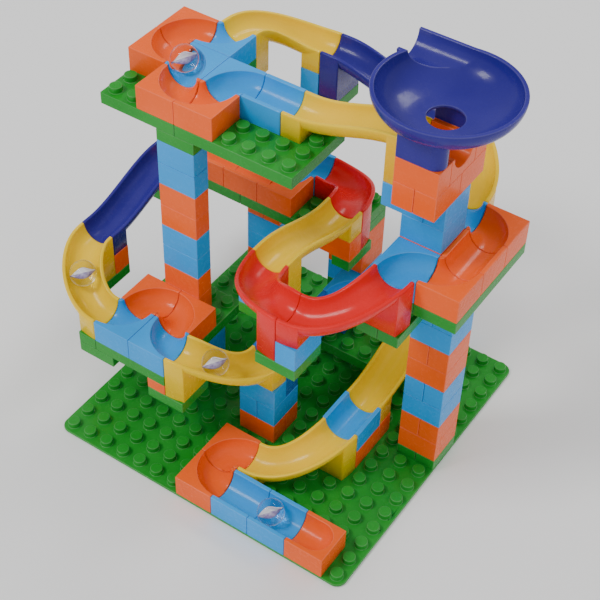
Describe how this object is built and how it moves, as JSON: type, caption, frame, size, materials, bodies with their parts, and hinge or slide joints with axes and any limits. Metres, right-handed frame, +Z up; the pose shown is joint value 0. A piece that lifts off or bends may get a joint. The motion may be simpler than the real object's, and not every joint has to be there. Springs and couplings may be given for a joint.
{
  "type": "marble run",
  "caption": "Toy marble run of big studded bricks: plates and brick towers carry slides, curved slides, grooved track blocks and a funnel, with glass marbles.",
  "frame": {"origin": "centre of the baseplate's underside", "axes": "+Z up, +X along the baseplate's front edge to the right, +Y to the back"},
  "size_m": [0.3203, 0.256, 0.3285],
  "materials": {
    "green_plastic": "glossy injection-moulded toy plastic",
    "orange_plastic": "glossy injection-moulded toy plastic",
    "blue_plastic": "glossy injection-moulded toy plastic",
    "yellow_plastic": "glossy injection-moulded toy plastic",
    "red_plastic": "glossy injection-moulded toy plastic",
    "indigo_plastic": "glossy injection-moulded toy plastic",
    "mid_blue_plastic": "glossy injection-moulded toy plastic",
    "clear_glass": "clear glass with a coloured cat's-eye swirl"
  },
  "bodies": {
    "run": {"baseplate": "green_plastic", "funnel": "indigo_plastic", "front_slide": "yellow_plastic", "back_curve": "yellow_plastic", "back_slide": "indigo_plastic", "right_curve": "yellow_plastic", "large_red_curve": "red_plastic", "left_red_curve": "red_plastic", "middle_slide": "yellow_plastic", "upper_red_curve": "red_plastic", "left_slide": "indigo_plastic", "left_curve": "yellow_plastic", "lower_curve": "yellow_plastic", "centre_slide": "mid_blue_plastic", "low_slide": "yellow_plastic", "exit_curve": "yellow_plastic", "top_track_blue": "blue_plastic", "top_track_orange": "orange_plastic", "funnel_track_block": "orange_plastic", "right_track_blue": "blue_plastic", "right_track_orange": "orange_plastic", "middle_track_blue": "blue_plastic", "middle_track_orange": "orange_plastic", "lower_track_blue": "blue_plastic", "lower_track_orange": "orange_plastic", "link_track_blue": "blue_plastic", "link_track_orange": "orange_plastic", "low_track_block": "blue_plastic", "exit_track_blue": "blue_plastic", "exit_track_orange": "orange_plastic", "exit_end_block": "orange_plastic", "top_deck_left": "green_plastic", "top_deck_right": "green_plastic", "right_deck": "green_plastic", "middle_deck": "green_plastic", "lower_deck": "green_plastic", "link_deck": "green_plastic", "joining_plates": "green_plastic", "joint_bricks_blue": "blue_plastic", "joint_bricks_orange": "orange_plastic", "right_tower_orange": "orange_plastic", "right_tower_blue": "blue_plastic", "right_tower_plates": "green_plastic", "left_tower_orange": "orange_plastic", "left_tower_blue": "blue_plastic", "funnel_tower_orange": "orange_plastic", "funnel_tower_blue": "blue_plastic", "centre_tower_orange": "orange_plastic", "centre_tower_blue": "blue_plastic", "back_columns_orange": "orange_plastic", "back_columns_blue": "blue_plastic", "lower_column": "blue_plastic", "link_posts": "blue_plastic", "low_slide_bricks": "orange_plastic"},
    "top_marble": {"marble_top": "clear_glass"},
    "left_marble": {"marble_left": "clear_glass"},
    "lower_marble": {"marble_lower": "clear_glass"},
    "centre_marble": {"marble_centre": "clear_glass"},
    "exit_marble": {"marble_exit": "clear_glass"}
  },
  "joints": [
    {"name": "marble_top_roll", "type": "hinge", "parent": "run", "child": "top_marble", "pos_m": [-0.112, 0, 0.2708], "axis": [0, 0, 1], "range_deg": [-50, 15]},
    {"name": "marble_exit_roll", "type": "slide", "parent": "run", "child": "exit_marble", "axis": [1, 0, 0], "range_m": [-0.03, 0.035]},
    {"name": "marble_left_roll", "type": "hinge", "parent": "run", "child": "left_marble", "pos_m": [-0.10923, -0.03522, 0.10612], "axis": [0.2689, -0.3124, 0.9111], "range_deg": [-4, 4]},
    {"name": "marble_lower_roll", "type": "hinge", "parent": "run", "child": "lower_marble", "pos_m": [-0.04476, -0.03005, 0.09059], "axis": [0.3147, 0.1895, 0.9301], "range_deg": [-4, 4]},
    {"name": "marble_centre_roll", "type": "slide", "parent": "run", "child": "centre_marble", "axis": [0, 0.947, -0.3213], "range_m": [-0.006, 0.006]}
  ]
}
